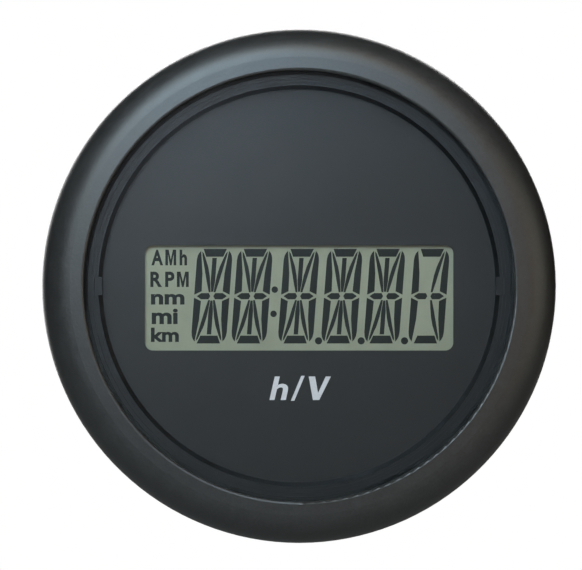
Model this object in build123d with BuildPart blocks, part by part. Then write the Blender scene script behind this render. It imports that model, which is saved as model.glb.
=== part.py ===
"""Round digital panel gauge for a 52 mm panel hole, with a segment display and a spin-on nut.

Millimetres. The gauge's axis is Y, its face looks towards -Y and +Z is up. The origin is on
the axis at the panel seat, which is the back of the panel gasket. A depth is a Y value: it is
negative in front of the panel and positive behind it.
"""

from math import cos, radians, sin, tan
import os

from build123d import *

# Case
case_radius = 26.0  # register that goes through the panel hole
case_wall = 1.8
case_depth = 36.0
case_floor = 2.0
register_length = 3.0
register_lead = 0.6  # sloped end of the register
shoulder_height = 0.8
shoulder_recess = 0.2  # shoulder stops this far short of the panel
gasket_thickness = 1.5
gasket_gap = 0.1  # gasket to the shoulder that centres it
gasket_width = 2.5
edge_break = 0.3

# Neck, flange and bezel
lens_set_in = 0.1  # lens edge inside the case's register radius
stack_clearance = 0.1  # lens, seal and mask ring to the neck's bore
neck_wall = 1.2
flange_step = 1.0  # neck to flange
flange_thickness = 2.5
snap_height = 0.4
snap_width = 1.2
snap_set_back = 0.9  # back of the flange to the snap bead
bezel_clearance = 0.1
bezel_wall = 1.7
bezel_cover = 0.84  # how far the bezel's lip laps over the lens
bezel_lip = 1.3  # lip's thickness at the opening
bezel_slope = 7.0  # degrees, how the front falls away from the opening
bezel_round = 3.8

# Window stack, front to back
lens_thickness = 1.6
seal_thickness = 0.5
seal_width = 1.2
mask_width = 3.0
mask_height = 3.0
mask_treads = ((0.5, 0.0), (0.9, 0.25), (1.25, 0.5))  # from the seal to each tread's end, its drop
mask_lip_width = 0.1
mask_lip_height = 0.4
lug_width = 2.15
lug_length = 0.7
lug_rise = 0.3
dial_cover = 0.7  # how far the mask ring laps over the dial
dial_thickness = 0.5
dial_rebate_clearance = 0.1
dial_seat = 0.4  # dial's back in front of the flange's back

# Display
window_width = 36.1
window_height = 12.3
window_corner = 0.95
window_z = -1.39
polariser_width = 38.4
polariser_height = 13.8
polariser_thickness = 0.2
glass_width = 39.6
front_glass_height = 17.0
rear_glass_height = 13.9
glass_thickness = 1.1
diffuser_gap = 0.2
diffuser_thickness = 2.3
pocket_clearance = 0.15
cavity_wall = 1.0  # between the LED cavity and each contact strip
strip_thickness = 1.2
strip_length = 36.0
led_length = 3.0
led_width = 1.4
led_height = 0.8
led_pitch_x = 12.0
led_pitch_z = 5.0

# Carrier, boards and their fixings
carrier_clearance = 0.3  # to the case's bore
carrier_depth = 7.9
board_clearance = 0.6  # to the case's bore
board_thickness = 1.6
board_gap = 12.4
boss_radius = 3.6
boss_wall_gap = 0.4  # between a boss and the case wall
boss_web = 2.4  # rib from each boss to the case wall
boss_angles = (90, 235, 305)
boss_clearance = 0.4
screw_shank = 1.25
screw_head = 2.2
screw_head_height = 1.6
screw_length = 16.0
screw_clearance = 0.15
socket_flats = 1.5  # screw drive, across flats
standoff_x = 12.5
standoff_z = 12.5
standoff_flats = 4.5
standoff_screw_length = 6.0
link_pitch = 2.54
link_count = 6
link_z = -11.5
link_pin = 0.64
pin_tail = 1.0  # pin ends that stand through a board

# Board components; places are X, Z
lead_pitch = 0.5
lead_reach = 1.0
lead_thickness = 0.25
chip_stand = 0.1
mcu_place = (-6.5, 2.5)
mcu_size = 7.0
mcu_height = 1.4
mcu_leads = 12  # on each side
driver_place = (7.5, 1.5)
driver_width = 6.1
driver_length = 14.0
driver_height = 1.0
driver_leads = 28
crystal_place = (-6.5, -6.0)
crystal_length = 11.0
crystal_width = 4.6
crystal_height = 3.4
crystal_rim = 0.4
crystal_base = 0.5
small_length = 2.0
small_width = 1.25
small_height = 0.7
small_rows = (-4.0, -1.0, 2.0, 5.0)
display_small_columns = (-15.0, 14.5, 17.5)
power_small_columns = (-15.0, 15.0)
capacitor_places = ((-14.0, 3.2), (0.0, 9.5))
capacitor_radius = 4.0
capacitor_height = 9.0
capacitor_groove = 0.3
capacitor_groove_width = 0.8
capacitor_groove_lift = 1.2
inductor_place = (14.0, 1.5)
inductor_radius = 4.5
inductor_height = 5.5
inductor_flange = 1.2
inductor_waist = 0.9  # winding inside the flanges
regulator_place = (-14.0, -5.8)
regulator_width = 6.5
regulator_length = 6.0
regulator_height = 2.3
regulator_tab_width = 5.2
regulator_tab_reach = 1.0
regulator_tab_thickness = 0.5
regulator_lead_x = 2.3
regulator_lead_width = 0.8
regulator_lead_reach = 2.0
block_foot = 0.6  # how far a block's flat leads stand out
power_block_sizes = {  # place, width, length, height
    "surge_diode": ((13.5, -6.5), 4.6, 3.6, 2.3),
    "fuse": ((0.0, -6.5), 6.0, 3.2, 1.4),
}

# Rear connector
socket_width = 24.0
socket_height = 11.0
socket_wall = 1.5
socket_depth = 9.0
socket_reach = 10.0  # behind the case
plate_margin = 2.0  # plate's edge outside the socket
plate_thickness = 1.5
connector_seal_thickness = 1.0
connector_clearance = 0.2
base_width = 20.0
base_height = 8.0
pin_width = 1.0
pin_columns = 4
pin_rows = 2
pin_pitch_x = 4.2
pin_pitch_z = 3.6
pin_reach = 4.0
rib_width = 2.0
rib_height = 0.8
latch_width = 6.0
latch_height = 1.2
latch_length = 3.0
vent_radius = 1.0
vent_place = (-14.0, 9.0)
membrane_radius = 3.0
membrane_thickness = 0.3

# Thread, washer and nut
thread_pitch = 3.0
thread_start = 4.5
thread_turns = 9
thread_set_in = 0.1  # crest inside the register radius
thread_height = 0.9
thread_base_width = 1.5
thread_crest_width = 0.8
thread_clearance = 0.25  # crest to root
flank_clearance = 0.3
thread_sink = 0.4  # how far the ridge's root is buried in its wall
keyway_width = 3.2
keyway_sink = 0.15  # keyway's floor inside the thread root
washer_gap = 10.0  # panel seat to the washer, as the gauge is stored
washer_clearance = 0.3  # washer's bore to the register
washer_width = 3.0
washer_thickness = 1.6
collar_wall = 0.8
collar_lip = 0.5
collar_lip_length = 1.0
tab_clearance = 0.3
nut_wall = 1.05  # outside the groove that holds the washer
nut_length = 10.0
nut_clearance = 0.25
nut_front_lip = 0.85
grip_count = 12
grip_height = 0.6
grip_width = 5.0

os.makedirs("parts", exist_ok=True)

# Radii that follow from the sizes above
shoulder_radius = case_radius + shoulder_height
lens_radius = case_radius - lens_set_in
neck_bore = lens_radius + stack_clearance
neck_radius = neck_bore + neck_wall
flange_radius = neck_radius + flange_step
bezel_inner = flange_radius + bezel_clearance
bezel_neck = neck_radius + bezel_clearance
bezel_radius = bezel_inner + bezel_wall
bezel_opening = lens_radius - bezel_cover
seal_bore = lens_radius - seal_width
mask_opening = lens_radius - mask_width
dial_radius = mask_opening + dial_cover
thread_crest = case_radius - thread_set_in
thread_root = thread_crest - thread_height
keyway_floor = thread_root - keyway_sink
case_bore = thread_root - case_wall
carrier_radius = case_bore - carrier_clearance
board_radius = case_bore - board_clearance
boss_pitch_radius = case_bore - boss_wall_gap - boss_radius
gasket_bore = shoulder_radius + gasket_gap
washer_bore = case_radius + washer_clearance
washer_radius = washer_bore + washer_width
collar_radius = washer_bore + collar_wall
tab_radius = keyway_floor + tab_clearance
tab_width = keyway_width - 2 * tab_clearance
nut_lip_bore = collar_radius + nut_clearance
nut_groove = collar_radius + collar_lip + nut_clearance
nut_radius = nut_groove + nut_wall

# Depths that follow from the sizes above
gasket_front = -gasket_thickness
flange_front = gasket_front - flange_thickness
dial_back = gasket_front - dial_seat
dial_front = dial_back - dial_thickness
mask_front = dial_back - mask_height
seal_front = mask_front - seal_thickness
lens_front = seal_front - lens_thickness
lip_front = lens_front - bezel_lip
front_polariser_back = dial_back + polariser_thickness
front_glass_back = front_polariser_back + glass_thickness
rear_glass_back = front_glass_back + glass_thickness
rear_polariser_back = rear_glass_back + polariser_thickness
diffuser_front = rear_polariser_back + diffuser_gap
diffuser_back = diffuser_front + diffuser_thickness
display_board_front = dial_back + carrier_depth
display_board_back = display_board_front + board_thickness
power_board_front = display_board_back + board_gap
power_board_back = power_board_front + board_thickness
floor_front = case_depth - case_floor
plate_back = floor_front - connector_seal_thickness
plate_front = plate_back - plate_thickness
socket_back = case_depth + socket_reach
socket_bottom = socket_back - socket_depth
washer_back = washer_gap + washer_thickness
nut_front = washer_back + nut_clearance
nut_back = nut_front + nut_length
collar_back = nut_front + nut_front_lip + nut_clearance + collar_lip_length
nut_thread_front = collar_back + nut_clearance
plate_width = socket_width + 2 * plate_margin
plate_height = socket_height + 2 * plate_margin
window_centre = (0, window_z)
strip_shift = (front_glass_height + rear_glass_height) / 4


def facing(depth):
    """A plane across the axis at this depth, seen from the front: X right, Z up."""
    return Plane.XZ.offset(-depth)


def on_circle(radius, angles):
    """Points at these angles on a circle round the axis."""
    return [(radius * cos(radians(a)), radius * sin(radians(a))) for a in angles]


def in_line(count, pitch):
    """Evenly spaced places along a line, centred on 0."""
    return [(i - (count - 1) / 2) * pitch for i in range(count)]


def ridge_width(radius):
    """Width of the case's thread ridge at a radius, its flanks carried on past both ends."""
    taper = (thread_base_width - thread_crest_width) / (thread_crest - thread_root)
    return thread_base_width - taper * (radius - thread_root)


def ridge_section(path, radius, root, root_width, crest, crest_width):
    """Thread section at the start of a helix of this radius, from its root to its crest."""
    start = path @ 0
    with BuildSketch(Plane(start, x_dir=(start.X, 0, start.Z), z_dir=path % 0)) as section:
        with BuildLine():
            Polyline(
                (root - radius, -root_width / 2),
                (crest - radius, -crest_width / 2),
                (crest - radius, crest_width / 2),
                (root - radius, root_width / 2),
                close=True,
            )
        make_face()
    return section.sketch


boss_points = on_circle(boss_pitch_radius, boss_angles)
standoff_points = [(-standoff_x, standoff_z), (standoff_x, standoff_z)]

# Bezel: rounded trim ring with a groove that snaps over the case flange
groove_back = gasket_front - snap_set_back + bezel_clearance
groove_front = gasket_front - snap_set_back - snap_width - bezel_clearance
rim_depth = lip_front + (bezel_radius - bezel_opening) * tan(radians(bezel_slope))
with BuildPart() as bezel:
    with BuildSketch():
        with BuildLine():
            Polyline(
                (bezel_opening, lens_front),
                (bezel_opening, lip_front),
                (bezel_radius, rim_depth),
                (bezel_radius, gasket_front),
                (bezel_inner, gasket_front),
                (bezel_inner, groove_back),
                (bezel_inner + snap_height, groove_back - snap_height),
                (bezel_inner + snap_height, groove_front + snap_height),
                (bezel_inner, groove_front),
                (bezel_inner, flange_front),
                (bezel_neck, flange_front),
                (bezel_neck, lens_front),
                close=True,
            )
        make_face()
        fillet(vertices().group_by(Axis.X)[-1].sort_by(Axis.Y)[0], bezel_round)
        fillet(vertices().group_by(Axis.X)[-1].sort_by(Axis.Y)[-1], edge_break)
        fillet(vertices().group_by(Axis.X)[0].sort_by(Axis.Y)[0], edge_break)
    revolve(axis=Axis.Y)

# Lens: clear flat window with a broken edge
with BuildPart() as lens:
    with BuildSketch(facing(lens_front)):
        Circle(lens_radius)
    extrude(amount=-lens_thickness)
    chamfer(edges().group_by(Axis.Y)[0], edge_break / 2)

# Lens seal: flat rubber ring between the lens and the mask ring
with BuildPart() as lens_seal:
    with BuildSketch(facing(seal_front)):
        Circle(lens_radius)
        Circle(seal_bore, mode=Mode.SUBTRACT)
    extrude(amount=-seal_thickness)

# Mask ring: steps down in treads and a steep wall to the dial, with a lug at 3 and 9 o'clock
mask_wall_bottom = mask_opening + mask_lip_width
lug_outer = lens_radius - edge_break
lug_floor = mask_front + mask_height / 2
lug_limit = seal_bore - stack_clearance
lug_inner = lug_limit - lug_length
with BuildPart() as mask_ring:
    with BuildSketch():
        with BuildLine():
            outline = [(lens_radius, dial_back), (lens_radius, mask_front)]
            for set_in, drop in mask_treads:
                if drop:
                    outline.append((outline[-1][0], mask_front + drop))
                outline.append((seal_bore - set_in, mask_front + drop))
            outline.append((mask_wall_bottom, dial_front - mask_lip_height))
            outline.append((mask_opening, dial_front - mask_lip_height))
            outline.append((mask_opening, dial_front))
            outline.append((dial_radius + dial_rebate_clearance, dial_front))
            outline.append((dial_radius + dial_rebate_clearance, dial_back))
            Polyline(*outline, close=True)
        make_face()
    revolve(axis=Axis.Y)
    with BuildSketch(facing(lug_floor)):
        for side in (-1, 1):
            with Locations((side * (mask_wall_bottom + lug_outer) / 2, 0)):
                Rectangle(lug_outer - mask_wall_bottom, lug_width)
    extrude(amount=lug_floor - mask_front - mask_treads[1][1])
    with BuildSketch(facing(lug_floor)):
        for side in (-1, 1):
            with Locations((side * (lug_inner + lug_limit) / 2, 0)):
                Rectangle(lug_limit - lug_inner, lug_width)
    extrude(amount=lug_floor - mask_front + lug_rise)

# Dial: thin plate with the display window
with BuildPart() as dial:
    with BuildSketch(facing(dial_front)):
        Circle(dial_radius)
        with Locations(window_centre):
            RectangleRounded(window_width, window_height, window_corner, mode=Mode.SUBTRACT)
    extrude(amount=-dial_thickness)

# Display cell: polariser, two glasses and the rear polariser, front to back
with BuildPart() as front_polariser:
    with BuildSketch(facing(dial_back)):
        with Locations(window_centre):
            Rectangle(polariser_width, polariser_height)
    extrude(amount=-polariser_thickness)

with BuildPart() as lcd_front_glass:
    with BuildSketch(facing(front_polariser_back)):
        with Locations(window_centre):
            Rectangle(glass_width, front_glass_height)
    extrude(amount=-glass_thickness)

with BuildPart() as lcd_rear_glass:
    with BuildSketch(facing(front_glass_back)):
        with Locations(window_centre):
            Rectangle(glass_width, rear_glass_height)
    extrude(amount=-glass_thickness)

with BuildPart() as rear_polariser:
    with BuildSketch(facing(rear_glass_back)):
        with Locations(window_centre):
            Rectangle(polariser_width, polariser_height)
    extrude(amount=-polariser_thickness)

# Diffuser: spreads the light of the LEDs behind the cell
with BuildPart() as diffuser:
    with BuildSketch(facing(diffuser_front)):
        with Locations(window_centre):
            Rectangle(glass_width, rear_glass_height)
    extrude(amount=-diffuser_thickness)
    fillet(edges().filter_by(Axis.Y), edge_break)

# Contact strips: striped elastomer bars from the front glass's ledges to the display board
contact_strips = {}
for strip_name, side in (("contact_strip_upper", 1), ("contact_strip_lower", -1)):
    with BuildPart() as strip:
        with BuildSketch(facing(front_glass_back)):
            with Locations((0, window_z + side * strip_shift)):
                Rectangle(strip_length, strip_thickness)
        extrude(amount=-(display_board_front - front_glass_back))
    contact_strips[strip_name] = strip

# Carrier: moulded frame with stepped pockets for the cell and diffuser and slots for the strips
led_cavity_width = strip_length - 2 * pocket_clearance
led_cavity_height = 2 * strip_shift - strip_thickness - 2 * cavity_wall
counterbore = screw_head + screw_clearance
with BuildPart() as carrier:
    with BuildSketch(facing(dial_back)):
        Circle(carrier_radius)
    extrude(amount=-carrier_depth)
    with BuildSketch(facing(dial_back)):
        with Locations(window_centre):
            Rectangle(glass_width + 2 * pocket_clearance, front_glass_height + 2 * pocket_clearance)
    extrude(amount=-(front_glass_back - dial_back), mode=Mode.SUBTRACT)
    with BuildSketch(facing(front_glass_back)):
        with Locations(window_centre):
            Rectangle(glass_width + 2 * pocket_clearance, rear_glass_height + 2 * pocket_clearance)
    extrude(amount=-(diffuser_back - front_glass_back), mode=Mode.SUBTRACT)
    with BuildSketch(facing(diffuser_back)):
        with Locations(window_centre):
            Rectangle(led_cavity_width, led_cavity_height)
    extrude(amount=-(display_board_front - diffuser_back), mode=Mode.SUBTRACT)
    with BuildSketch(facing(front_glass_back)):
        for side in (-1, 1):
            with Locations((0, window_z + side * strip_shift)):
                Rectangle(
                    strip_length + 2 * pocket_clearance, strip_thickness + 2 * pocket_clearance
                )
    extrude(amount=-(display_board_front - front_glass_back), mode=Mode.SUBTRACT)
    with BuildSketch(facing(dial_back)):
        with Locations(boss_points):
            Circle(screw_shank + screw_clearance)
    extrude(amount=-carrier_depth, mode=Mode.SUBTRACT)
    with BuildSketch(facing(dial_back)):
        with Locations(boss_points):
            Circle(counterbore)
    extrude(amount=-screw_head_height, mode=Mode.SUBTRACT)
    with BuildSketch(facing(display_board_front)):
        with Locations(standoff_points):
            Circle(counterbore)
    extrude(amount=screw_head_height + pocket_clearance, mode=Mode.SUBTRACT)


def socket_screw(head_front, x, z, length, head_at_front=True):
    """A cap screw along the axis, its head's outer face at head_front."""
    into = -1 if head_at_front else 1
    with BuildPart() as screw:
        with BuildSketch(facing(head_front)):
            with Locations((x, z)):
                Circle(screw_head)
        extrude(amount=into * screw_head_height)
        with BuildSketch(facing(head_front)):
            with Locations((x, z)):
                Circle(screw_shank)
        extrude(amount=into * (screw_head_height + length))
        with BuildSketch(facing(head_front)):
            with Locations((x, z)):
                RegularPolygon(socket_flats / 2, 6, major_radius=False)
        extrude(amount=into * screw_head_height / 2, mode=Mode.SUBTRACT)
    return screw.part


# Carrier screws: clamp the carrier and the display board to the case bosses
with BuildPart() as carrier_screws:
    for x, z in boss_points:
        add(socket_screw(dial_back, x, z, screw_length))

# Display board with its screw holes
with BuildPart() as display_board:
    with BuildSketch(facing(display_board_front)):
        Circle(board_radius)
        with Locations(boss_points + standoff_points):
            Circle(screw_shank + screw_clearance, mode=Mode.SUBTRACT)
        with Locations([(x, link_z) for x in in_line(link_count, link_pitch)]):
            Rectangle(link_pin, link_pin, mode=Mode.SUBTRACT)
    extrude(amount=-board_thickness)

# Backlight LEDs on the front of the display board
with BuildPart() as backlight_leds:
    with BuildSketch(facing(display_board_front)):
        with Locations(window_centre):
            with GridLocations(led_pitch_x, led_pitch_z, 3, 2):
                Rectangle(led_length, led_width)
    extrude(amount=led_height)
    chamfer(edges().group_by(Axis.Y)[0], edge_break / 2)


def leaded_chip(place, width, length, height, leads, all_round):
    """A moulded chip behind the display board, with leads on two sides or all round."""
    spots = in_line(leads, lead_pitch)
    with BuildPart() as chip:
        with BuildSketch(facing(display_board_back + chip_stand)):
            with Locations(place):
                Rectangle(width, length)
        extrude(amount=-height)
        chamfer(edges().group_by(Axis.Y)[-1], edge_break / 2)
        with BuildSketch(facing(display_board_back)):
            with Locations(place):
                with Locations([(0, spot) for spot in spots]):
                    Rectangle(width + 2 * lead_reach, lead_pitch / 2)
                if all_round:
                    with Locations([(spot, 0) for spot in spots]):
                        Rectangle(lead_pitch / 2, length + 2 * lead_reach)
        extrude(amount=-(chip_stand + lead_thickness))
    return chip


# Chips on the back of the display board
microcontroller = leaded_chip(mcu_place, mcu_size, mcu_size, mcu_height, mcu_leads, True)
lcd_driver = leaded_chip(
    driver_place, driver_width, driver_length, driver_height, driver_leads, False
)

# Crystal: low metal can on a flat base
with BuildPart() as crystal:
    with BuildSketch(facing(display_board_back)):
        with Locations(crystal_place):
            SlotOverall(crystal_length, crystal_width)
    extrude(amount=-crystal_base)
    with BuildSketch(facing(display_board_back)):
        with Locations(crystal_place):
            SlotOverall(crystal_length - 2 * crystal_rim, crystal_width - 2 * crystal_rim)
    extrude(amount=-crystal_height)
    fillet(edges().group_by(Axis.Y)[-1], edge_break)


def small_parts(board_back, columns):
    """Rows of small ceramic parts on the back of a board."""
    with BuildPart() as blocks:
        with BuildSketch(facing(board_back)):
            with Locations([(x, z) for x in columns for z in small_rows]):
                Rectangle(small_length, small_width)
        extrude(amount=-small_height)
    return blocks


display_chip_parts = small_parts(display_board_back, display_small_columns)
power_chip_parts = small_parts(power_board_back, power_small_columns)

# Link header and pins between the two boards
with BuildPart() as link_header:
    with BuildSketch(facing(display_board_back)):
        with Locations((0, link_z)):
            Rectangle(link_count * link_pitch, link_pitch)
        with Locations([(x, link_z) for x in in_line(link_count, link_pitch)]):
            Rectangle(link_pin, link_pin, mode=Mode.SUBTRACT)
    extrude(amount=-link_pitch)

with BuildPart() as link_pins:
    with BuildSketch(facing(display_board_front)):
        with Locations([(x, link_z) for x in in_line(link_count, link_pitch)]):
            Rectangle(link_pin, link_pin)
    extrude(amount=-(power_board_back + pin_tail - display_board_front))

# Standoffs: hex pillars that carry the power board
with BuildPart() as standoffs:
    with BuildSketch(facing(display_board_back)):
        with Locations(standoff_points):
            RegularPolygon(standoff_flats / 2, 6, major_radius=False)
            Circle(screw_shank, mode=Mode.SUBTRACT)
    extrude(amount=-board_gap)

with BuildPart() as standoff_screws:
    for x, z in standoff_points:
        add(socket_screw(display_board_front - screw_head_height, x, z, standoff_screw_length))
        add(socket_screw(power_board_back + screw_head_height, x, z, standoff_screw_length, False))

# Power board, notched round the bosses
column_places = in_line(pin_columns, pin_pitch_x)
row_places = in_line(pin_rows, pin_pitch_z)
connector_points = [(x, z) for x in column_places for z in row_places]
with BuildPart() as power_board:
    with BuildSketch(facing(power_board_front)):
        Circle(board_radius)
        with Locations(boss_points):
            Circle(boss_radius + boss_clearance, mode=Mode.SUBTRACT)
        with Locations(standoff_points):
            Circle(screw_shank + screw_clearance, mode=Mode.SUBTRACT)
        with Locations([(x, link_z) for x in in_line(link_count, link_pitch)]):
            Rectangle(link_pin, link_pin, mode=Mode.SUBTRACT)
        with Locations(connector_points):
            Rectangle(pin_width, pin_width, mode=Mode.SUBTRACT)
    extrude(amount=-board_thickness)

# Smoothing capacitors: cans with a rolled groove near the board
with BuildPart() as smoothing_capacitors:
    with BuildSketch(facing(power_board_front)):
        with Locations(capacitor_places):
            Circle(capacitor_radius)
    extrude(amount=capacitor_height)
    with BuildSketch(facing(power_board_front - capacitor_groove_lift)):
        with Locations(capacitor_places):
            Circle(capacitor_radius)
            Circle(capacitor_radius - capacitor_groove, mode=Mode.SUBTRACT)
    extrude(amount=capacitor_groove_width, mode=Mode.SUBTRACT)
    fillet(edges().group_by(Axis.Y)[0], edge_break)

# Inductor: wound drum core between two flanges
with BuildPart() as inductor:
    with BuildSketch(facing(power_board_front)):
        with Locations(inductor_place):
            Circle(inductor_radius - inductor_waist)
    extrude(amount=inductor_height)
    for flange_back in (power_board_front, power_board_front - inductor_height + inductor_flange):
        with BuildSketch(facing(flange_back)):
            with Locations(inductor_place):
                Circle(inductor_radius)
        extrude(amount=inductor_flange)

# Regulator: power package with its tab and two leads
with BuildPart() as regulator:
    with BuildSketch(facing(power_board_front)):
        with Locations(regulator_place):
            Rectangle(regulator_width, regulator_length)
    extrude(amount=regulator_height)
    chamfer(edges().group_by(Axis.Y)[0], edge_break / 2)
    with BuildSketch(facing(power_board_front)):
        with Locations(regulator_place):
            Rectangle(regulator_tab_width, regulator_length + 2 * regulator_tab_reach)
            with Locations(
                (-regulator_lead_x, -(regulator_length + regulator_lead_reach) / 2),
                (regulator_lead_x, -(regulator_length + regulator_lead_reach) / 2),
            ):
                Rectangle(regulator_lead_width, regulator_lead_reach)
    extrude(amount=regulator_tab_thickness)

# Surge diode and fuse: moulded blocks on flat leads
power_blocks = {}
for block_name, (place, width, length, height) in power_block_sizes.items():
    with BuildPart() as block:
        with BuildSketch(facing(power_board_front)):
            with Locations(place):
                Rectangle(width, length)
        extrude(amount=height)
        chamfer(edges().group_by(Axis.Y)[0], edge_break / 2)
        with BuildSketch(facing(power_board_front)):
            with Locations(place):
                Rectangle(width + 2 * block_foot, length / 2)
        extrude(amount=lead_thickness)
    power_blocks[block_name] = block

# Connector shroud: block on the power board, sealing plate and an open socket behind the case
latch_foot = socket_height / 2 + rib_height
with BuildPart() as connector_shroud:
    with BuildSketch(facing(power_board_back)):
        Rectangle(base_width, base_height)
    extrude(amount=-(plate_front - power_board_back))
    with BuildSketch(facing(plate_front)):
        RectangleRounded(plate_width, plate_height, socket_wall)
    extrude(amount=-plate_thickness)
    with BuildSketch(facing(plate_back)):
        RectangleRounded(socket_width, socket_height, socket_wall)
    extrude(amount=-(socket_back - plate_back))
    with BuildSketch(facing(socket_bottom)):
        RectangleRounded(
            socket_width - 2 * socket_wall, socket_height - 2 * socket_wall, socket_wall / 2
        )
    extrude(amount=-socket_depth, mode=Mode.SUBTRACT)
    with BuildSketch(facing(power_board_back)):
        with Locations(connector_points):
            Rectangle(pin_width, pin_width)
    extrude(amount=-(socket_bottom - power_board_back), mode=Mode.SUBTRACT)
    with BuildSketch(facing(case_depth + connector_clearance)):
        for side in (-1, 1):
            with Locations((side * socket_width / 4, -(socket_height + rib_height) / 2)):
                Rectangle(rib_width, rib_height)
        with Locations((0, (socket_height + rib_height) / 2)):
            Rectangle(latch_width, rib_height)
    extrude(amount=-(socket_reach - connector_clearance))
    with BuildSketch(Plane.YZ.offset(-latch_width / 2)):
        with BuildLine():
            Polyline(
                (socket_back - 2 * latch_length, latch_foot),
                (socket_back - 2 * latch_length, latch_foot + latch_height),
                (socket_back - latch_length, latch_foot),
                close=True,
            )
        make_face()
    extrude(amount=latch_width)

# Connector pins: square blades from the power board into the socket
with BuildPart() as connector_pins:
    with BuildSketch(facing(power_board_front)):
        with Locations(connector_points):
            Rectangle(pin_width, pin_width)
    extrude(amount=-(socket_bottom + pin_reach - power_board_front))
    chamfer(edges().group_by(Axis.Y)[-1], edge_break)

# Connector seal: rubber frame squeezed between the plate and the case floor
with BuildPart() as connector_seal:
    with BuildSketch(facing(plate_back)):
        RectangleRounded(plate_width, plate_height, socket_wall)
        RectangleRounded(
            socket_width + 2 * connector_clearance,
            socket_height + 2 * connector_clearance,
            socket_wall,
            mode=Mode.SUBTRACT,
        )
    extrude(amount=-connector_seal_thickness)

# Case: flange, gasket shoulder, register and a threaded barrel with a floor
thread_length = thread_pitch * thread_turns
flange_seat = gasket_front - snap_set_back
web_end = case_bore + edge_break
with BuildPart() as case:
    with BuildSketch():
        with BuildLine():
            Polyline(
                (0, case_depth),
                (thread_root - edge_break, case_depth),
                (thread_root, case_depth - edge_break),
                (thread_root, register_length + register_lead),
                (case_radius, register_length),
                (case_radius, -shoulder_recess),
                (shoulder_radius, -shoulder_recess),
                (shoulder_radius, gasket_front),
                (flange_radius, gasket_front),
                (flange_radius, flange_seat),
                (flange_radius + snap_height, flange_seat - snap_height),
                (flange_radius + snap_height, flange_seat - snap_width + snap_height),
                (flange_radius, flange_seat - snap_width),
                (flange_radius, flange_front),
                (neck_radius, flange_front),
                (neck_radius, lens_front),
                (neck_bore, lens_front),
                (neck_bore, dial_back),
                (case_bore, dial_back),
                (case_bore, floor_front),
                (0, floor_front),
                close=True,
            )
        make_face()
    revolve(axis=Axis.Y)
    case_helix = Helix(
        pitch=thread_pitch,
        height=thread_length,
        radius=thread_root,
        center=(0, thread_start, 0),
        direction=(0, 1, 0),
        mode=Mode.PRIVATE,
    )
    case_ridge = ridge_section(
        case_helix,
        thread_root,
        thread_root - thread_sink,
        ridge_width(thread_root - thread_sink),
        thread_crest,
        thread_crest_width,
    )
    sweep(sections=case_ridge, path=case_helix, is_frenet=True)
    with BuildSketch(facing(register_length)):
        for side in (-1, 1):
            with Locations((side * (keyway_floor + case_radius) / 2, 0)):
                Rectangle(case_radius - keyway_floor, keyway_width)
    extrude(amount=-(case_depth - register_length), mode=Mode.SUBTRACT)
    with BuildSketch(facing(display_board_back)):
        with Locations(boss_points):
            Circle(boss_radius)
        for angle in boss_angles:
            with PolarLocations((boss_pitch_radius + web_end) / 2, 1, start_angle=angle):
                Rectangle(web_end - boss_pitch_radius, boss_web)
    extrude(amount=-(floor_front - display_board_back))
    with BuildSketch(facing(display_board_back)):
        with Locations(boss_points):
            Circle(screw_shank)
    extrude(amount=-(screw_length + screw_clearance), mode=Mode.SUBTRACT)
    with BuildSketch(facing(floor_front)):
        RectangleRounded(
            socket_width + 2 * connector_clearance,
            socket_height + 2 * connector_clearance,
            socket_wall,
        )
        with Locations(vent_place):
            Circle(vent_radius)
    extrude(amount=-case_floor, mode=Mode.SUBTRACT)
    with BuildSketch(facing(case_depth)):
        with Locations(vent_place):
            Circle(membrane_radius + edge_break)
    extrude(amount=membrane_thickness, mode=Mode.SUBTRACT)

# Vent membrane: breather patch sunk in the back of the case
with BuildPart() as vent_membrane:
    with BuildSketch(facing(case_depth - membrane_thickness)):
        with Locations(vent_place):
            Circle(membrane_radius)
    extrude(amount=-membrane_thickness)

# Panel gasket: seals the flange and bezel to the panel
with BuildPart() as panel_gasket:
    with BuildSketch(facing(gasket_front)):
        Circle(gasket_bore + gasket_width)
        Circle(gasket_bore, mode=Mode.SUBTRACT)
    extrude(amount=-gasket_thickness)

# Clamp washer: flat ring with a collar that the nut holds, and two tabs in the keyways
with BuildPart() as clamp_washer:
    with BuildSketch():
        with BuildLine():
            Polyline(
                (washer_bore, washer_gap),
                (washer_radius, washer_gap),
                (washer_radius, washer_back),
                (collar_radius, washer_back),
                (collar_radius, collar_back - collar_lip_length),
                (collar_radius + collar_lip, collar_back - collar_lip_length),
                (collar_radius, collar_back),
                (washer_bore, collar_back),
                close=True,
            )
        make_face()
    revolve(axis=Axis.Y)
    with BuildSketch(facing(collar_back)):
        for side in (-1, 1):
            with Locations((side * (tab_radius + collar_radius) / 2, 0)):
                Rectangle(collar_radius - tab_radius, tab_width)
        Circle(washer_bore + edge_break, mode=Mode.INTERSECT)
    extrude(amount=collar_lip_length)

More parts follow.
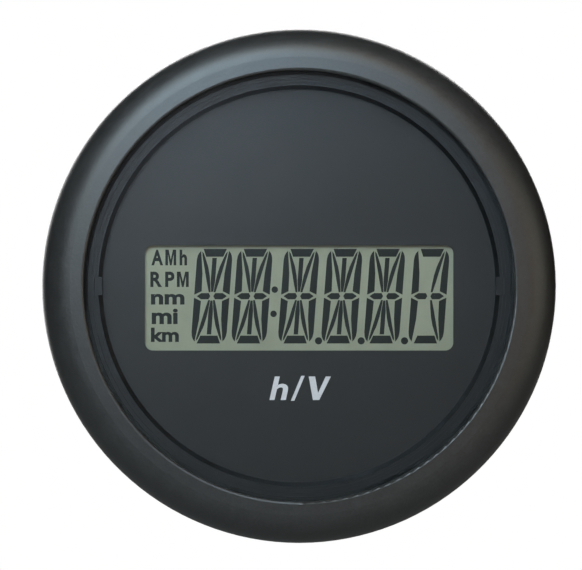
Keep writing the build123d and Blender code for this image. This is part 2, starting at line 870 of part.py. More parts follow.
# Clamp nut: grip ring with an inner thread, and a lip that carries the washer
nut_crest = thread_root + thread_clearance
nut_root = thread_crest + thread_clearance
nut_ridge_root = nut_root + thread_sink
nut_root_width = thread_pitch - ridge_width(nut_ridge_root) - 2 * flank_clearance
nut_crest_width = thread_pitch - ridge_width(nut_crest) - 2 * flank_clearance
nut_ridge_start = nut_thread_front + nut_root_width / 2
nut_ridge_turn = (nut_ridge_start - thread_start) / thread_pitch - 0.5
with BuildPart() as clamp_nut:
    with BuildSketch():
        with BuildLine():
            Polyline(
                (nut_lip_bore, nut_front),
                (nut_radius, nut_front),
                (nut_radius, nut_back),
                (nut_root, nut_back),
                (nut_root, nut_thread_front),
                (nut_groove, nut_thread_front),
                (nut_groove, nut_front + nut_front_lip),
                (nut_lip_bore, nut_front + nut_front_lip),
                close=True,
            )
        make_face()
    revolve(axis=Axis.Y)
    with BuildSketch(facing(nut_front)):
        with PolarLocations(nut_radius, grip_count):
            Rectangle(2 * grip_height, grip_width)
        Circle(nut_radius + grip_height, mode=Mode.INTERSECT)
        Circle(nut_radius - edge_break, mode=Mode.SUBTRACT)
    extrude(amount=-nut_length)
    nut_helix = Helix(
        pitch=thread_pitch,
        height=nut_back - nut_root_width / 2 - nut_ridge_start,
        radius=nut_crest,
        center=(0, nut_ridge_start, 0),
        direction=(0, 1, 0),
        mode=Mode.PRIVATE,
    ).rotate(Axis.Y, 360 * nut_ridge_turn)
    nut_ridge = ridge_section(
        nut_helix, nut_crest, nut_ridge_root, nut_root_width, nut_crest, nut_crest_width
    )
    sweep(sections=nut_ridge, path=nut_helix, is_frenet=True)

pieces = {
    "bezel": bezel,
    "lens": lens,
    "lens_seal": lens_seal,
    "mask_ring": mask_ring,
    "dial": dial,
    "front_polariser": front_polariser,
    "lcd_front_glass": lcd_front_glass,
    "lcd_rear_glass": lcd_rear_glass,
    "rear_polariser": rear_polariser,
    "diffuser": diffuser,
    **contact_strips,
    "carrier": carrier,
    "carrier_screws": carrier_screws,
    "display_board": display_board,
    "backlight_leds": backlight_leds,
    "microcontroller": microcontroller,
    "lcd_driver": lcd_driver,
    "crystal": crystal,
    "display_chip_parts": display_chip_parts,
    "link_header": link_header,
    "link_pins": link_pins,
    "standoffs": standoffs,
    "standoff_screws": standoff_screws,
    "power_board": power_board,
    "smoothing_capacitors": smoothing_capacitors,
    "inductor": inductor,
    "regulator": regulator,
    **power_blocks,
    "power_chip_parts": power_chip_parts,
    "connector_shroud": connector_shroud,
    "connector_pins": connector_pins,
    "connector_seal": connector_seal,
    "case": case,
    "vent_membrane": vent_membrane,
    "panel_gasket": panel_gasket,
    "clamp_washer": clamp_washer,
    "clamp_nut": clamp_nut,
}
for name, piece in pieces.items():
    piece.part.label = name
    export_step(piece.part, f"parts/{name}.step")
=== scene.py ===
import math
import bpy
from mathutils import Matrix, Vector


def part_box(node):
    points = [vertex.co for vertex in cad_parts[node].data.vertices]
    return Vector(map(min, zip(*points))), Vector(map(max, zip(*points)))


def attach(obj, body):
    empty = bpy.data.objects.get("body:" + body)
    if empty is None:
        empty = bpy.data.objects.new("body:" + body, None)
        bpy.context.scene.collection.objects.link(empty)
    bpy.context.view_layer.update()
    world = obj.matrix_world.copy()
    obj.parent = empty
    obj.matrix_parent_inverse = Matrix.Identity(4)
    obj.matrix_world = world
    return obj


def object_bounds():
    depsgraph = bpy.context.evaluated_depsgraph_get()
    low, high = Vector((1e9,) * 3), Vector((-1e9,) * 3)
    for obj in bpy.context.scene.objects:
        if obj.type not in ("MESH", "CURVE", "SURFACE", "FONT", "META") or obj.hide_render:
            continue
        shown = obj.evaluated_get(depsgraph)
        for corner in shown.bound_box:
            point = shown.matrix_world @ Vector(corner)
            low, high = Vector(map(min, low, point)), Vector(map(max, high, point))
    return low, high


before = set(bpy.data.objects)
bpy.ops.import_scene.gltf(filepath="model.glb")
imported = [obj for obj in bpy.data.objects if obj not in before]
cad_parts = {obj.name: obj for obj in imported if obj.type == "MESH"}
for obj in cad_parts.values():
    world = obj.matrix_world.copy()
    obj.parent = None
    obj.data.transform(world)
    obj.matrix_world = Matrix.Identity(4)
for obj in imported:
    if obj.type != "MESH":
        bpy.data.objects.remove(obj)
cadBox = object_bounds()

mm = 0.001
faceOn = math.pi / 2   # turns a flat shape up to face the viewer


def deselectAll():
    if bpy.context.object and bpy.context.object.mode != "OBJECT":
        bpy.ops.object.mode_set(mode="OBJECT")
    bpy.ops.object.select_all(action="DESELECT")


# materials
# two stops hold nearly all that a noise pattern returns
noiseLow, noiseHigh = 0.30, 0.70


def toLinear(hexColour):
    # sRGB to linear
    parts = [int(hexColour[i:i + 2], 16) / 255 for i in (1, 3, 5)]
    return [p / 12.92 if p <= 0.04045 else ((p + 0.055) / 1.055) ** 2.4 for p in parts] + [1.0]


def addNode(tree, kind, settings=None, values=None, links=None):
    node = tree.nodes.new(kind)
    for name, value in (settings or {}).items():
        setattr(node, name, value)
    for name, value in (values or {}).items():
        node.inputs[name].default_value = value
    for name, source in (links or {}).items():
        tree.links.new(source, node.inputs[name])
    return node


def startMaterial(name, values):
    mat = bpy.data.materials.new(name)
    mat.use_nodes = True
    tree = mat.node_tree
    tree.nodes.clear()
    shader = addNode(tree, "ShaderNodeBsdfPrincipled", values=values)
    addNode(tree, "ShaderNodeOutputMaterial", links={"Surface": shader.outputs[0]})
    place = addNode(tree, "ShaderNodeTexCoord").outputs["Object"]
    return mat, tree, shader, place


def colourBetween(tree, amount, stops):
    # a ramp from one colour to the next, each stop a place and a hex colour
    ramp = addNode(tree, "ShaderNodeValToRGB", links={"Fac": amount})
    points = ramp.color_ramp.elements
    while len(points) < len(stops):
        points.new(0.5)
    for point, (at, colour) in zip(points, stops):
        point.position = at
        point.color = toLinear(colour)
    return ramp.outputs["Color"]


def grained(name, look):
    # moulded, cast or rubbed surface: cloudy colour, uneven gloss and a fine raised grain
    mat, tree, shader, place = startMaterial(name, look["shader"])
    cloud = addNode(tree, "ShaderNodeTexNoise", values={
        "Scale": 1 / (look["cloudSize"] * mm), "Detail": 3.0, "Roughness": 0.6},
        links={"Vector": place})
    grain = addNode(tree, "ShaderNodeTexNoise", values={
        "Scale": 1 / (look["grainSize"] * mm), "Detail": 2.0, "Roughness": 0.55},
        links={"Vector": place})
    both = addNode(tree, "ShaderNodeMix", {"data_type": "FLOAT"}, {"Factor": look["grainShare"]},
                   {"A": cloud.outputs["Fac"], "B": grain.outputs["Fac"]})
    colour = colourBetween(tree, both.outputs["Result"],
                           [(noiseLow, look["dark"]), (noiseHigh, look["light"])])
    tree.links.new(colour, shader.inputs["Base Color"])
    gloss = addNode(tree, "ShaderNodeMapRange", values={
        "From Min": noiseLow, "From Max": noiseHigh, "To Min": look["smooth"], "To Max": look["rough"]},
        links={"Value": both.outputs["Result"]})
    tree.links.new(gloss.outputs["Result"], shader.inputs["Roughness"])
    bump = addNode(tree, "ShaderNodeBump", values={"Distance": look["grainHeight"] * mm},
                   links={"Height": grain.outputs["Fac"]})
    tree.links.new(bump.outputs["Normal"], shader.inputs["Normal"])
    return mat


# satin black ABS from a spark-eroded mould: a soft sheen broken up by a pebbled grain
bezelAbs = grained("Spark textured black ABS", {
    "shader": {"IOR": 1.53, "Specular IOR Level": 0.5},
    "dark": "#1f1d1c", "light": "#2e2c2b", "cloudSize": 1.6, "grainShare": 0.6,
    "grainSize": 0.30,   # the real grain is about 0.1 mm, drawn coarser so that it shows
    "grainHeight": 0.012, "smooth": 0.36, "rough": 0.48})

# the mask behind the lens is the same ABS from a finer mould, so its steps are sharper and glossier
maskAbs = grained("Fine matt black ABS", {
    "shader": {"IOR": 1.53, "Specular IOR Level": 0.35},
    "dark": "#111111", "light": "#19191a", "cloudSize": 2.5, "grainShare": 0.5,
    "grainSize": 0.2, "grainHeight": 0.004, "smooth": 0.30, "rough": 0.40})

# glass-filled black polyamide: duller than the bezel, with pale fibre flecks at the skin
casePolyamide = grained("Glass filled black polyamide", {
    "shader": {"IOR": 1.53},
    "dark": "#191a1b", "light": "#2d2e2f", "cloudSize": 2.2, "grainShare": 0.7,
    "grainSize": 0.35, "grainHeight": 0.014, "smooth": 0.42, "rough": 0.60})

# acetal nut: waxy and a little greyer than the case
nutAcetal = grained("Moulded black acetal", {
    "shader": {"IOR": 1.48},
    "dark": "#1e1f21", "light": "#2e2f32", "cloudSize": 3.0, "grainShare": 0.4,
    "grainSize": 0.25, "grainHeight": 0.008, "smooth": 0.30, "rough": 0.42})

# unfilled polyamide washer, dark grey with a dry surface
washerPolyamide = grained("Moulded grey polyamide", {
    "shader": {"IOR": 1.53},
    "dark": "#2f3133", "light": "#414446", "cloudSize": 2.0, "grainShare": 0.5,
    "grainSize": 0.25, "grainHeight": 0.010, "smooth": 0.45, "rough": 0.58})

# EPDM rubber: almost no highlight, faint bloom in patches
sealRubber = grained("Moulded EPDM rubber", {
    "shader": {"IOR": 1.52, "Specular IOR Level": 0.35},
    "dark": "#121212", "light": "#232323", "cloudSize": 1.8, "grainShare": 0.4,
    "grainSize": 0.22, "grainHeight": 0.010, "smooth": 0.70, "rough": 0.85})

# printed polycarbonate dial film: velvet dark grey that catches a broad soft light
dialPrint = grained("Printed polycarbonate film", {
    "shader": {"IOR": 1.58, "Specular IOR Level": 0.3},
    "dark": "#1f1d1c", "light": "#242221", "cloudSize": 6.0, "grainShare": 0.3,
    "grainSize": 0.12, "grainHeight": 0.002, "smooth": 0.32, "rough": 0.36})

# carrier in off-white ABS, slightly translucent looking
carrierAbs = grained("Moulded white ABS", {
    "shader": {"IOR": 1.53},
    "dark": "#c9c6bd", "light": "#dcdad2", "cloudSize": 3.0, "grainShare": 0.4,
    "grainSize": 0.25, "grainHeight": 0.006, "smooth": 0.36, "rough": 0.50})

# black glass-filled PBT of the connector: dense black with a low sheen
connectorPbt = grained("Glass filled black PBT", {
    "shader": {"IOR": 1.55},
    "dark": "#161617", "light": "#262627", "cloudSize": 1.5, "grainShare": 0.6,
    "grainSize": 0.28, "grainHeight": 0.009, "smooth": 0.38, "rough": 0.52})

# opal acrylic spreads the backlight: milky white with a soft glow under the surface
opalAcrylic = grained("Cast opal acrylic", {
    "shader": {"IOR": 1.49, "Subsurface Weight": 0.3, "Subsurface Scale": 0.001},
    "dark": "#dfe3e2", "light": "#f1f4f2", "cloudSize": 4.0, "grainShare": 0.2,
    "grainSize": 0.3, "grainHeight": 0.001, "smooth": 0.18, "rough": 0.26})

# black moulding compound of the chips: very fine sand-like surface
chipEpoxy = grained("Chip moulding epoxy", {
    "shader": {"IOR": 1.55},
    "dark": "#1b1c1d", "light": "#2a2b2c", "cloudSize": 0.9, "grainShare": 0.7,
    "grainSize": 0.12, "grainHeight": 0.006, "smooth": 0.50, "rough": 0.66})

# fired ceramic of chip resistors and capacitors: tan, dry and speckled
chipCeramic = grained("Fired tan ceramic", {
    "shader": {"IOR": 1.60},
    "dark": "#8a7458", "light": "#b09c7c", "cloudSize": 0.6, "grainShare": 0.6,
    "grainSize": 0.10, "grainHeight": 0.004, "smooth": 0.42, "rough": 0.60})

# sintered ferrite: charcoal grey with a faint metallic glint
ferrite = grained("Sintered ferrite", {
    "shader": {"IOR": 1.50, "Metallic": 0.2},
    "dark": "#2a2b2d", "light": "#45474a", "cloudSize": 0.8, "grainShare": 0.7,
    "grainSize": 0.14, "grainHeight": 0.008, "smooth": 0.50, "rough": 0.68})

# LED resin: pale yellow phosphor under clear resin
ledResin = grained("Phosphor filled resin", {
    "shader": {"IOR": 1.50, "Coat Weight": 0.4, "Coat Roughness": 0.1},
    "dark": "#d9c65a", "light": "#efe39a", "cloudSize": 0.5, "grainShare": 0.5,
    "grainSize": 0.10, "grainHeight": 0.002, "smooth": 0.25, "rough": 0.35})

# stretched PTFE membrane: chalk-white felt with fine fibrils
ventFabric = grained("Expanded PTFE membrane", {
    "shader": {"IOR": 1.38, "Sheen Weight": 0.3},
    "dark": "#a9aaa8", "light": "#d4d5d2", "cloudSize": 0.5, "grainShare": 0.6,
    "grainSize": 0.14, "grainHeight": 0.010, "smooth": 0.75, "rough": 0.90})

# drawn aluminium cans: bright with a slight drag in the metal
drawnAluminium = grained("Drawn aluminium", {
    "shader": {"Metallic": 1.0},
    "dark": "#a9abae", "light": "#c9ccd0", "cloudSize": 1.2, "grainShare": 0.5,
    "grainSize": 0.12, "grainHeight": 0.001, "smooth": 0.26, "rough": 0.38})

# zinc-plated steel screws: cool grey with a patchy passivated film
zincSteel = grained("Zinc plated steel", {
    "shader": {"Metallic": 1.0},
    "dark": "#8f949b", "light": "#b9bec4", "cloudSize": 0.7, "grainShare": 0.4,
    "grainSize": 0.12, "grainHeight": 0.002, "smooth": 0.28, "rough": 0.44})

# tinned brass pins: pale yellow-grey metal, smoother on the rubbing faces
tinnedBrass = grained("Tinned brass", {
    "shader": {"Metallic": 1.0},
    "dark": "#a89a70", "light": "#d0c79f", "cloudSize": 0.8, "grainShare": 0.4,
    "grainSize": 0.12, "grainHeight": 0.001, "smooth": 0.22, "rough": 0.36})

# silvered film behind the cell: bright, brushed one way and hazy
reflectorFilm = grained("Silvered reflector film", {
    "shader": {"Metallic": 0.8},
    "dark": "#b3b6ae", "light": "#cdd0c8", "cloudSize": 1.0, "grainShare": 0.5,
    "grainSize": 0.15, "grainHeight": 0.002, "smooth": 0.35, "rough": 0.5})

# the lit face of the liquid crystal cell: grey-green film with an even, slightly silky surface
displayFilm = grained("Reflective polariser film", {
    "shader": {"IOR": 1.50, "Specular IOR Level": 0.3},
    "dark": "#8c8a77", "light": "#969480", "cloudSize": 3.0, "grainShare": 0.3,
    "grainSize": 0.16, "grainHeight": 0.001, "smooth": 0.45, "rough": 0.55})

# dark liquid crystal marks: near black with a green cast
crystalDark = grained("Dark liquid crystal", {
    "shader": {"IOR": 1.50, "Specular IOR Level": 0.3},
    "dark": "#121411", "light": "#1a1c18", "cloudSize": 2.0, "grainShare": 0.3,
    "grainSize": 0.16, "grainHeight": 0.001, "smooth": 0.45, "rough": 0.55})

# screen-printed white ink on the dial, cool and a little chalky
legendInk = grained("Screen printed pale ink", {
    "shader": {"IOR": 1.50},
    "dark": "#cdc5c6", "light": "#d8d0d1", "cloudSize": 1.0, "grainShare": 0.5,
    "grainSize": 0.14, "grainHeight": 0.002, "smooth": 0.50, "rough": 0.60})


def clearSheet(name, look):
    # thin clear sheet: what is behind shows through, and the surface mirrors more towards its edges
    mat = bpy.data.materials.new(name)
    mat.use_nodes = True
    tree = mat.node_tree
    tree.nodes.clear()
    place = addNode(tree, "ShaderNodeTexCoord").outputs["Object"]
    haze = addNode(tree, "ShaderNodeTexNoise", values={
        "Scale": 1 / (look["hazeSize"] * mm), "Detail": 2.0}, links={"Vector": place})
    gloss = addNode(tree, "ShaderNodeMapRange", values={
        "From Min": noiseLow, "From Max": noiseHigh, "To Min": look["smooth"], "To Max": look["rough"]},
        links={"Value": haze.outputs["Fac"]})
    through = addNode(tree, "ShaderNodeBsdfTransparent", values={"Color": toLinear(look["tint"])})
    mirror = addNode(tree, "ShaderNodeBsdfPrincipled", values={
        "Base Color": toLinear(look["body"]), "IOR": look["index"]},
        links={"Roughness": gloss.outputs["Result"]})
    # rays aren't bent on their way through, so the far side has to mirror as the near side does
    facing = addNode(tree, "ShaderNodeNewGeometry").outputs["Backfacing"]
    index = addNode(tree, "ShaderNodeMapRange", values={
        "To Min": look["index"], "To Max": 1 / look["index"]}, links={"Value": facing})
    edge = addNode(tree, "ShaderNodeFresnel", links={"IOR": index.outputs["Result"]})
    both = addNode(tree, "ShaderNodeMixShader", links={"Fac": edge.outputs["Fac"]})
    tree.links.new(through.outputs[0], both.inputs[1])
    tree.links.new(mirror.outputs[0], both.inputs[2])
    addNode(tree, "ShaderNodeOutputMaterial", links={"Surface": both.outputs[0]})
    return mat


# cast acrylic window with a hard coat: clear to look through, its reflections slightly spread
lensAcrylic = clearSheet("Hard coated clear acrylic", {
    "index": 1.49, "tint": "#fbfcfc", "body": "#101112",
    "hazeSize": 4.0, "smooth": 0.12, "rough": 0.16})

# soda-lime cell glass: a green tint at the edges
cellGlass = clearSheet("Soda lime cell glass", {
    "index": 1.52, "tint": "#eef6f0", "body": "#1a2620",
    "hazeSize": 3.0, "smooth": 0.02, "rough": 0.04})


def striped(name, look):
    # layers stacked along one direction, for the contact strips and the woven board
    mat, tree, shader, place = startMaterial(name, look["shader"])
    layers = addNode(tree, "ShaderNodeTexWave", {"wave_type": "BANDS", "bands_direction": look["along"]},
                     {"Scale": math.pi / 10 / (look["pitch"] * mm),   # one band for each pitch
                      "Distortion": look["wander"]},
                     {"Vector": place})
    cloud = addNode(tree, "ShaderNodeTexNoise", values={
        "Scale": 1 / (look["cloudSize"] * mm), "Detail": 3.0}, links={"Vector": place})
    both = addNode(tree, "ShaderNodeMix", {"data_type": "FLOAT"}, {"Factor": look["cloudShare"]},
                   {"A": layers.outputs["Fac"], "B": cloud.outputs["Fac"]})
    colour = colourBetween(tree, both.outputs["Result"], look["stops"])
    tree.links.new(colour, shader.inputs["Base Color"])
    bump = addNode(tree, "ShaderNodeBump", values={"Distance": look["height"] * mm},
                   links={"Height": layers.outputs["Fac"]})
    tree.links.new(bump.outputs["Normal"], shader.inputs["Normal"])
    return mat


# silicone strip with carbon layers: fine black and grey bands along its length
stripSilicone = striped("Layered silicone strip", {
    "shader": {"Roughness": 0.62}, "along": "X", "pitch": 0.4, "wander": 0.0, "height": 0.004,
    "cloudSize": 0.8, "cloudShare": 0.15, "stops": [(0.35, "#1b1b1c"), (0.65, "#8d8480")]})

# glass-epoxy board under green solder resist: glossy green with the weave just showing
boardLaminate = striped("Glass epoxy laminate", {
    "shader": {"Roughness": 0.32, "Coat Weight": 0.3, "Coat Roughness": 0.15}, "along": "DIAGONAL",
    "pitch": 0.5, "wander": 1.5, "height": 0.006, "cloudSize": 1.4, "cloudShare": 0.5,
    "stops": [(0.25, "#123a26"), (0.60, "#1c5236"), (0.80, "#2b6a48")]})

finishOfSlot = {
    "bezel_plastic": bezelAbs, "lens_clear": lensAcrylic, "seal_rubber": sealRubber,
    "mask_plastic": maskAbs, "dial_film": dialPrint, "display_film": displayFilm,
    "cell_glass": cellGlass, "reflector_film": reflectorFilm, "diffuser_acrylic": opalAcrylic,
    "strip_elastomer": stripSilicone, "carrier_plastic": carrierAbs, "screw_steel": zincSteel,
    "board_laminate": boardLaminate, "led_resin": ledResin, "chip_epoxy": chipEpoxy,
    "metal_can": drawnAluminium, "chip_ceramic": chipCeramic, "header_plastic": connectorPbt,
    "pin_brass": tinnedBrass, "core_ferrite": ferrite, "case_plastic": casePolyamide,
    "vent_fabric": ventFabric, "nut_plastic": nutAcetal, "washer_plastic": washerPolyamide}

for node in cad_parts.values():
    for holder in node.material_slots:
        holder.material = finishOfSlot[holder.material.name]
print("finishes on", len(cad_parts), "nodes")


# the display: dark marks on the cell's face and pale ones on the dial, each a very thin piece
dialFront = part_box("dial")[0].y
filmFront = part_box("front_polariser")[0].y

marks = {
    "thickness": 0.02 * mm,
    "sheetSize": 30 * mm,   # each bar is cut from a sheet of this size
    "dotSides": 32,
    "weldWithin": 1e-7,     # corners closer than this, in metres, become one
    "digitCentres": (-10.22, -5.52, -0.05, 5.0, 10.02, 15.2),
    "digitHeight": -1.18,   # height of the middle bars above the gauge axis
    "lean": 0.074,          # sideways shift per unit of height
    "spread": 0.04,         # each bar is this much wider on all sides than its outline
    "dots": ((-2.85, -0.41, 0.38), (-2.99, -3.25, 0.38),
             (2.28, -6.41, 0.42), (7.27, -6.41, 0.42), (12.35, -6.41, 0.42)),
}

# outlines of one digit's bars, in mm from its middle: those that repeat are given at the upper left
barOutlines = {
    "cap": ((-1.31, 5.5), (1.31, 5.5), (0.98, 4.66), (-0.98, 4.66)),
    "side": ((-2.03, 0.24), (-2.03, 4.20), (-1.96, 4.70), (-1.82, 5.02), (-1.66, 5.22),
             (-1.53, 4.30), (-1.33, 2.68), (-1.27, 0.60)),
    "middle": ((-1.70, 0.0), (-1.24, 0.32), (-0.40, 0.32),
               (-0.22, 0.0), (-0.40, -0.32), (-1.24, -0.32)),
    "slope": ((-0.36, 0.50), (-0.66, 1.60), (-1.40, 4.75), (-1.44, 5.12), (-1.32, 4.98),
              (-1.10, 4.44), (-0.72, 3.46), (-0.46, 2.42), (-0.31, 1.38), (-0.22, 0.50)),
    "centre": ((-0.22, 4.44), (0.22, 4.44), (0.22, 1.75), (0.09, 0.55), (-0.09, 0.55), (-0.22, 1.75)),
}
# bar, mirrored left to right, mirrored top to bottom
allBars = [("cap", 1, 1), ("cap", 1, -1),
           ("side", 1, 1), ("side", -1, 1), ("side", 1, -1), ("side", -1, -1),
           ("middle", 1, 1), ("middle", -1, 1), ("slope", -1, 1), ("slope", -1, -1),
           ("slope", 1, 1), ("slope", 1, -1), ("centre", 1, 1), ("centre", 1, -1)]
lastBars = allBars[:10]   # the last digit has no left slopes and no centre bars


def cutSheet(name, outline, lean=0.0, spread=0.0):
    # a flat sheet facing the viewer, trimmed along each side of the outline, or a little outside it
    bpy.ops.mesh.primitive_plane_add(size=marks["sheetSize"], rotation=(faceOn, 0, 0))
    sheet = bpy.context.object
    sheet.name = name
    bpy.ops.object.transform_apply(location=True, rotation=True, scale=True)
    corners = [Vector(((x + lean * z) * mm, 0, z * mm)) for x, z in outline]
    middle = sum(corners, Vector()) / len(corners)
    bpy.ops.object.mode_set(mode="EDIT")
    for start, end in zip(corners, corners[1:] + corners[:1]):
        side = end - start
        outward = Vector((side.z, 0, -side.x)).normalized()
        if outward.dot(middle - start) > 0:
            outward.negate()
        bpy.ops.mesh.select_all(action="SELECT")
        bpy.ops.mesh.bisect(plane_co=start + outward * spread * mm, plane_no=outward,
                            threshold=marks["weldWithin"], clear_outer=True)
    bpy.ops.object.mode_set(mode="OBJECT")
    return sheet


def joinPieces(pieces, name):
    deselectAll()
    for piece in pieces:
        piece.select_set(True)
    bpy.context.view_layer.objects.active = pieces[0]
    bpy.ops.object.join()
    joined = bpy.context.object
    joined.name = name
    joined.data.name = name
    return joined


def thicken(piece):
    # sheets that share an edge become one body
    bpy.ops.object.mode_set(mode="EDIT")
    bpy.ops.mesh.select_all(action="SELECT")
    bpy.ops.mesh.remove_doubles(threshold=marks["weldWithin"])
    bpy.ops.mesh.extrude_region_move(TRANSFORM_OT_translate={"value": (0, -marks["thickness"], 0)})
    bpy.ops.mesh.select_all(action="SELECT")
    bpy.ops.mesh.normals_make_consistent(inside=False)
    bpy.ops.object.mode_set(mode="OBJECT")
    return piece


def moveMesh(piece, x=0.0, y=0.0, z=0.0):
    piece.data.transform(Matrix.Translation((x, y, z)))


def finishPiece(piece, material, body):
    # the object's own place goes into its mesh, and the piece gets its finish and its body
    deselectAll()
    piece.select_set(True)
    bpy.context.view_layer.objects.active = piece
    bpy.ops.object.transform_apply(location=True, rotation=True, scale=True)
    piece.data.materials.clear()
    piece.data.materials.append(material)
    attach(piece, body)


def makeDigit(name, bars):
    deselectAll()
    return thicken(joinPieces([
        cutSheet(f"{name}_{i}", [(x * leftRight, z * topBottom) for x, z in barOutlines[kind]],
                 marks["lean"], marks["spread"])
        for i, (kind, leftRight, topBottom) in enumerate(bars)], name))


wholeDigit = makeDigit("digit_1", allBars)
lastDigit = makeDigit("digit_6", lastBars)
digits = [wholeDigit]
for number in range(2, 6):
    deselectAll()
    wholeDigit.select_set(True)
    bpy.context.view_layer.objects.active = wholeDigit
    bpy.ops.object.duplicate()
    bpy.context.object.name = f"digit_{number}"
    digits.append(bpy.context.object)
digits.append(lastDigit)
for digit, x in zip(digits, marks["digitCentres"]):
    moveMesh(digit, x * mm, filmFront, marks["digitHeight"] * mm)
    finishPiece(digit, crystalDark, "gauge")

dots = []
for x, z, radius in marks["dots"]:
    deselectAll()
    bpy.ops.mesh.primitive_circle_add(
        vertices=marks["dotSides"], radius=radius * mm, fill_type="NGON",
        rotation=(faceOn, 0, 0), location=(x * mm, filmFront, z * mm))
    bpy.ops.object.transform_apply(location=True, rotation=True, scale=True)
    dots.append(bpy.context.object)
finishPiece(thicken(joinPieces(dots, "display_dots")), crystalDark, "gauge")

# unit names at the left of the window: text, left, right, foot and top in mm
unitNames = {
    "bold": 0.035,
    "lean": 0.0,
    "words": (("A", -17.30, -15.93, 2.43, 4.27), ("h", -13.99, -13.12, 2.43, 4.27),
              ("R", -17.42, -16.05, -0.10, 1.69), ("P", -15.68, -14.60, -0.10, 1.69),
              ("nm", -17.35, -13.42, -2.16, -0.92), ("mi", -17.26, -14.20, -4.45, -2.64),
              ("km", -17.35, -14.08, -6.54, -4.86)),
    "wideLetters": ((-15.66, -14.39, 2.43, 4.27), (-14.31, -12.92, -0.10, 1.69)),   # the two Ms
}
textSteps = 6       # points along each curve of a letter
textWeld = 0.0005   # at the size the letters are first made, 1 m tall
# a bold M in a square of side 1
wideLetter = ((0, 0), (0, 1), (0.30, 1), (0.5, 0.36), (0.70, 1), (1, 1), (1, 0),
              (0.76, 0), (0.76, 0.72), (0.58, 0), (0.42, 0), (0.24, 0.72), (0.24, 0))

# the units on the dial: a leaning bold letter, then a slash and a letter cut from straight strokes
dialLetter = {"bold": 0.02, "lean": 0.19, "words": (("h", -3.47, -1.28, -13.33, -10.58),)}
dialStrokes = (
    ((-0.96, -13.42), (-0.56, -13.42), (0.66, -10.50), (0.26, -10.50)),
    ((1.13, -10.58), (1.88, -10.58), (2.22, -12.52), (2.03, -13.33), (1.62, -13.33)),
    ((2.22, -12.52), (3.12, -10.58), (3.72, -10.58), (2.36, -13.33), (2.03, -13.33)),
)


def addWords(names, surface, name):
    made = []
    for words, left, right, foot, top in names["words"]:
        deselectAll()
        bpy.ops.object.text_add()
        text = bpy.context.object
        text.data.body = words
        text.data.offset = names["bold"]
        text.data.shear = names["lean"]
        text.data.resolution_u = textSteps
        text.data.extrude = 0.5   # one deep in all, so that it scales to the marks' thickness
        bpy.ops.object.convert(target="MESH")
        text = bpy.context.object
        bpy.ops.object.mode_set(mode="EDIT")
        bpy.ops.mesh.select_all(action="SELECT")
        bpy.ops.mesh.remove_doubles(threshold=textWeld)
        bpy.ops.mesh.normals_make_consistent(inside=False)
        bpy.ops.object.mode_set(mode="OBJECT")
        xs = [v.co.x for v in text.data.vertices]
        ys = [v.co.y for v in text.data.vertices]
        wide = (right - left) * mm / (max(xs) - min(xs))
        high = (top - foot) * mm / (max(ys) - min(ys))
        text.data.transform(
            Matrix.Translation((left * mm, surface - marks["thickness"] / 2, foot * mm))
            @ Matrix.Rotation(faceOn, 4, "X")
            @ Matrix.Diagonal((wide, high, marks["thickness"], 1))
            @ Matrix.Translation((-min(xs), -min(ys), 0)))
        made.append(text)
    return joinPieces(made, name)


def fillOutline(name, outline):
    # a flat filled curve made a mesh, for shapes with hollow corners
    curve = bpy.data.curves.new(name, "CURVE")
    curve.dimensions, curve.fill_mode = "2D", "BOTH"
    line = curve.splines.new("POLY")
    line.points.add(len(outline) - 1)
    for point, (x, y) in zip(line.points, outline):
        point.co = (x, y, 0, 1)
    line.use_cyclic_u = True
    shape = bpy.data.objects.new(name, curve)
    bpy.context.scene.collection.objects.link(shape)
    deselectAll()
    shape.select_set(True)
    bpy.context.view_layer.objects.active = shape
    bpy.ops.object.convert(target="MESH")
    return bpy.context.object


letters = []
for left, right, foot, top in unitNames["wideLetters"]:
    letter = fillOutline("letter", wideLetter)
    letter.data.transform(
        Matrix.Translation((left * mm, 0, foot * mm))
        @ Matrix.Rotation(faceOn, 4, "X")
        @ Matrix.Diagonal(((right - left) * mm, (top - foot) * mm, 1, 1)))
    letters.append(letter)
letters = thicken(joinPieces(letters, "letters"))
moveMesh(letters, y=filmFront)
finishPiece(joinPieces([addWords(unitNames, filmFront, "display_units"), letters], "display_units"),
            crystalDark, "gauge")
strokes = thicken(joinPieces(
    [cutSheet(f"stroke_{i}", outline) for i, outline in enumerate(dialStrokes)], "strokes"))
moveMesh(strokes, y=dialFront)
finishPiece(joinPieces([addWords(dialLetter, dialFront, "letter"), strokes], "dial_units"),
            legendInk, "gauge")
print("display marks and printed units made")


# the room
room = {
    "floorDrop": 45 * mm,    # below the object, so that the floor stays out of the front view
    "floorSize": 1.4,
    "glowShare": 0.75,       # how much of the floor's look is its own even glow
    "backdrop": "#ffffff",
    "skyLight": 0.01,        # what the bright backdrop lends to the object
    "nearest": 0.01,
    "farthest": 20,
    "cameraAway": 0.8,
    "cameraSide": -0.945 * mm,
    "cameraUp": 0.128 * mm,
    "lens": 421.5,
}
lowest = cadBox[0].z
deselectAll()
bpy.ops.mesh.primitive_plane_add(size=room["floorSize"], location=(0, 0, lowest - room["floorDrop"]))
floor = bpy.context.object
floor.name = "studio_floor"
floorPaper = grained("Matt white paper", {
    "shader": {"IOR": 1.45},
    "dark": "#8f8f8d", "light": "#989896", "cloudSize": 60.0, "grainShare": 0.3,
    "grainSize": 1.0, "grainHeight": 0.01, "smooth": 0.8, "rough": 0.9})
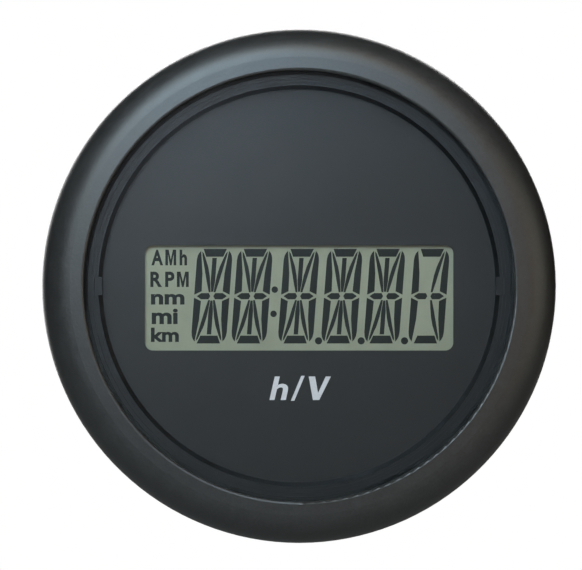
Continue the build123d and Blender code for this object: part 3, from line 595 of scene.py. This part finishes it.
# the paper is also lit from within for the viewer alone, so it looks pale and even from every side
paper = floorPaper.node_tree
paperEnd = next(node for node in paper.nodes if node.type == "OUTPUT_MATERIAL")
paperShader = paperEnd.inputs["Surface"].links[0].from_socket
glow = addNode(paper, "ShaderNodeEmission", values={"Color": toLinear("#e6e6e4"), "Strength": 1.0})
viewed = addNode(paper, "ShaderNodeLightPath")
share = addNode(paper, "ShaderNodeMath", {"operation": "MULTIPLY"}, {1: room["glowShare"]},
                {0: viewed.outputs["Is Camera Ray"]})
lit = addNode(paper, "ShaderNodeMixShader", links={
    "Fac": share.outputs[0], 1: paperShader, 2: glow.outputs[0]})
paper.links.new(lit.outputs[0], paperEnd.inputs["Surface"])
floor.data.materials.append(floorPaper)

# soft boxes round the front: degrees off the gauge axis, degrees round it from the right,
# distance, size, watts, colour
lamps = {
    "keyRight": (30, 100, 0.22, 0.12, 0.18, "#95d3ff"),
    "keyLeft": (30, 135, 0.22, 0.12, 0.20, "#effdff"),
    "keySide": (45, 115, 0.22, 0.12, 0.28, "#dbf3ff"),
    "top": (45, 80, 0.22, 0.12, 0.12, "#ffedcd"),
    "fill": (30, 0, 0.40, 0.30, 0.22, "#ffd1a2"),
    "fillSide": (60, 0, 0.40, 0.30, 0.33, "#fffce2"),
    # close to the viewer: its dim blurred image in the lens veils the upper left of the ring
    "veil": (6, 125, 0.70, 0.08, 0.27, "#e4f0ff"),
    # these stand behind and only reach the case
    "behindHigh": (166, 80, 0.60, 0.40, 2.6, "#ffffff"),
    "behindLeft": (162, 175, 0.60, 0.40, 1.3, "#ffffff"),
}
for name, (offAxis, around, away, size, watts, colour) in lamps.items():
    lamp = bpy.data.lights.new(name, "AREA")
    lamp.shape, lamp.size, lamp.energy = "SQUARE", size, watts
    lamp.color = toLinear(colour)[:3]
    holder = bpy.data.objects.new(name, lamp)
    bpy.context.scene.collection.objects.link(holder)
    tilt, turn = math.radians(offAxis), math.radians(around)
    place = away * Vector((
        math.sin(tilt) * math.cos(turn), -math.cos(tilt), math.sin(tilt) * math.sin(turn)))
    holder.location = place
    holder.rotation_euler = (-place).to_track_quat("-Z", "Y").to_euler()
    holder.visible_camera = False

world = bpy.data.worlds.new("studio")
world.use_nodes = True
bpy.context.scene.world = world
sky = world.node_tree
sky.nodes.clear()
dim = addNode(sky, "ShaderNodeBackground", values={
    "Color": toLinear(room["backdrop"]), "Strength": room["skyLight"]})
bright = addNode(sky, "ShaderNodeBackground", values={
    "Color": toLinear(room["backdrop"]), "Strength": 1.0})
seen = addNode(sky, "ShaderNodeLightPath")
eitherSky = addNode(sky, "ShaderNodeMixShader", links={"Fac": seen.outputs["Is Camera Ray"]})
sky.links.new(dim.outputs[0], eitherSky.inputs[1])
sky.links.new(bright.outputs[0], eitherSky.inputs[2])
addNode(sky, "ShaderNodeOutputWorld", links={"Surface": eitherSky.outputs[0]})

view = bpy.data.cameras.new("front")
view.lens = room["lens"]
view.clip_start, view.clip_end = room["nearest"], room["farthest"]
camera = bpy.data.objects.new("front", view)
bpy.context.scene.collection.objects.link(camera)
camera.location = (room["cameraSide"], -room["cameraAway"], room["cameraUp"])
camera.rotation_euler = (faceOn, 0, 0)
bpy.context.scene.camera = camera
bpy.context.scene.view_settings.view_transform = "Standard"
print("floor, lights and camera set")
